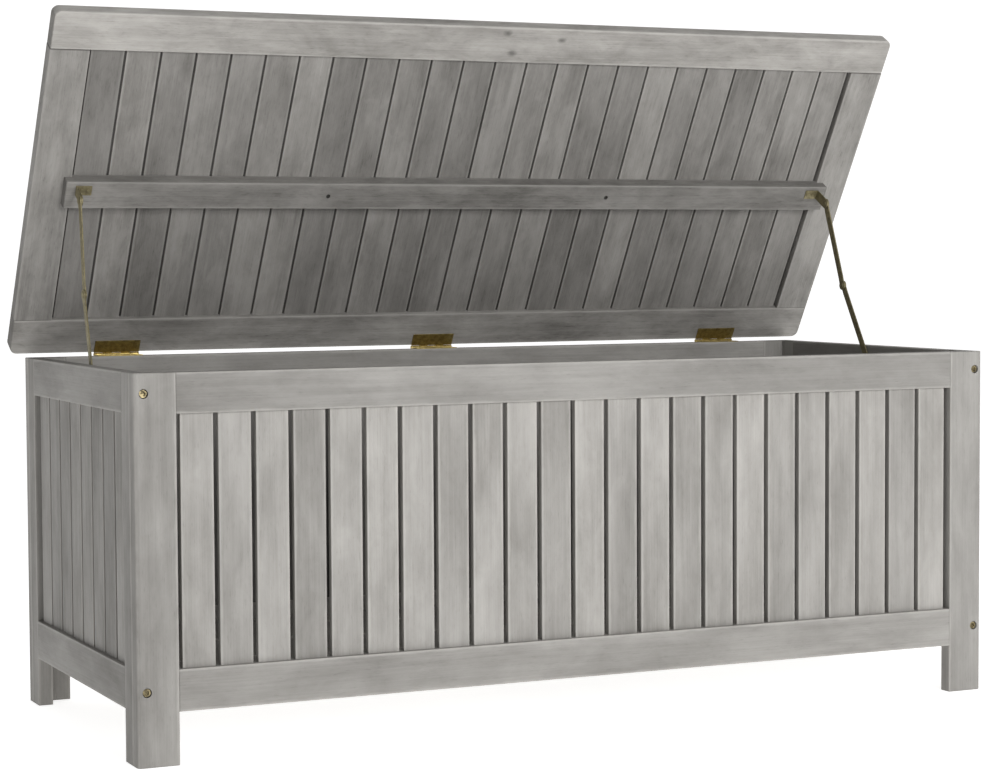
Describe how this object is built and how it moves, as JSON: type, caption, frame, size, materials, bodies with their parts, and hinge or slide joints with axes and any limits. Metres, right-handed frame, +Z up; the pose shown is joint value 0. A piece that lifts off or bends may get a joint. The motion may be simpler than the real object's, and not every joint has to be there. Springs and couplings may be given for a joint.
{
  "type": "deck storage box",
  "caption": "Slatted wooden deck storage box on four short legs, with a hinged slatted lid held open by two folding brass stays.",
  "frame": {"origin": "on the floor, midway across the box and midway between its front face and the back of the open lid", "axes": "+X across the front to the right, +Y to the back, +Z up"},
  "size_m": [1.27, 0.5418, 0.9406],
  "materials": {
    "frame_wood": "grey-washed hardwood, matt, with open grain",
    "slat_wood": "grey-washed hardwood slats, matt, tone varies from slat to slat",
    "inner_wood": "grey-washed hardwood, matt, thinner wash on the floor boards",
    "hinge_brass": "antique brass, brushed, darkened in the recesses",
    "stay_bronze": "dark antique brass, satin",
    "bolt_brass": "yellow zinc and brass plate, satin",
    "zinc_steel": "zinc plated, dull and darkened"
  },
  "bodies": {
    "box": {"front_left_stile": "frame_wood", "front_right_stile": "frame_wood", "front_top_rail": "frame_wood", "front_bottom_rail": "frame_wood", "front_slats_panel": "slat_wood", "back_left_stile": "frame_wood", "back_right_stile": "frame_wood", "back_top_rail": "frame_wood", "back_bottom_rail": "frame_wood", "back_slats_panel": "slat_wood", "left_front_stile": "frame_wood", "left_rear_stile": "frame_wood", "left_top_rail": "frame_wood", "left_bottom_rail": "frame_wood", "left_slats_panel": "slat_wood", "right_front_stile": "frame_wood", "right_rear_stile": "frame_wood", "right_top_rail": "frame_wood", "right_bottom_rail": "frame_wood", "right_slats_panel": "slat_wood", "front_floor_cleat": "inner_wood", "rear_floor_cleat": "inner_wood", "floor_planks": "inner_wood", "floor_screws": "zinc_steel", "corner_bolts": "bolt_brass", "barrel_nuts": "zinc_steel", "left_hinge_box_leaf": "hinge_brass", "middle_hinge_box_leaf": "hinge_brass", "right_hinge_box_leaf": "hinge_brass", "left_hinge_pin": "hinge_brass", "middle_hinge_pin": "hinge_brass", "right_hinge_pin": "hinge_brass", "hinge_box_screws": "hinge_brass", "left_stay_foot_plate": "stay_bronze", "left_stay_foot_rivet": "stay_bronze", "right_stay_foot_plate": "stay_bronze", "right_stay_foot_rivet": "stay_bronze", "stay_box_screws": "stay_bronze"},
    "lid": {"lid_front_rail": "frame_wood", "lid_rear_rail": "frame_wood", "lid_left_stile": "frame_wood", "lid_right_stile": "frame_wood", "lid_slats_panel": "slat_wood", "lid_batten": "frame_wood", "batten_screws": "zinc_steel", "left_hinge_lid_leaf": "hinge_brass", "middle_hinge_lid_leaf": "hinge_brass", "right_hinge_lid_leaf": "hinge_brass", "hinge_lid_screws": "hinge_brass", "left_stay_lid_rivet": "stay_bronze", "left_stay_lid_bracket": "stay_bronze", "right_stay_lid_rivet": "stay_bronze", "right_stay_lid_bracket": "stay_bronze", "stay_lid_screws": "stay_bronze"},
    "left_lower_arm": {"left_stay_lower_arm": "stay_bronze"},
    "left_upper_arm": {"left_stay_upper_arm": "stay_bronze"},
    "right_lower_arm": {"right_stay_lower_arm": "stay_bronze"},
    "right_upper_arm": {"right_stay_upper_arm": "stay_bronze"}
  },
  "joints": [
    {"name": "lid_hinge", "type": "hinge", "parent": "box", "child": "lid", "pos_m": [0, 0.25406, 0.4795], "axis": [1, 0, 0], "range_deg": [0, 59]},
    {"name": "left_foot_pivot", "type": "hinge", "parent": "box", "child": "left_lower_arm", "pos_m": [-0.5926, -0.01734, 0.452], "axis": [1, 0, 0], "range_deg": [-66.22, 0]},
    {"name": "left_lid_pivot", "type": "hinge", "parent": "lid", "child": "left_upper_arm", "pos_m": [-0.5805, 0.0802, 0.69119], "axis": [1, 0, 0], "range_deg": [0, 50.68]},
    {"name": "right_foot_pivot", "type": "hinge", "parent": "box", "child": "right_lower_arm", "pos_m": [0.5926, -0.01734, 0.452], "axis": [1, 0, 0], "range_deg": [-66.22, 0]},
    {"name": "right_lid_pivot", "type": "hinge", "parent": "lid", "child": "right_upper_arm", "pos_m": [0.5805, 0.0802, 0.69119], "axis": [1, 0, 0], "range_deg": [0, 50.68]}
  ],
  "couplings": [
    {"joint": "left_foot_pivot", "follows": "lid_hinge", "ratio": -1.114},
    {"joint": "left_lid_pivot", "follows": "lid_hinge", "ratio": 0.85053},
    {"joint": "right_foot_pivot", "follows": "lid_hinge", "ratio": -1.114},
    {"joint": "right_lid_pivot", "follows": "lid_hinge", "ratio": 0.85053}
  ]
}
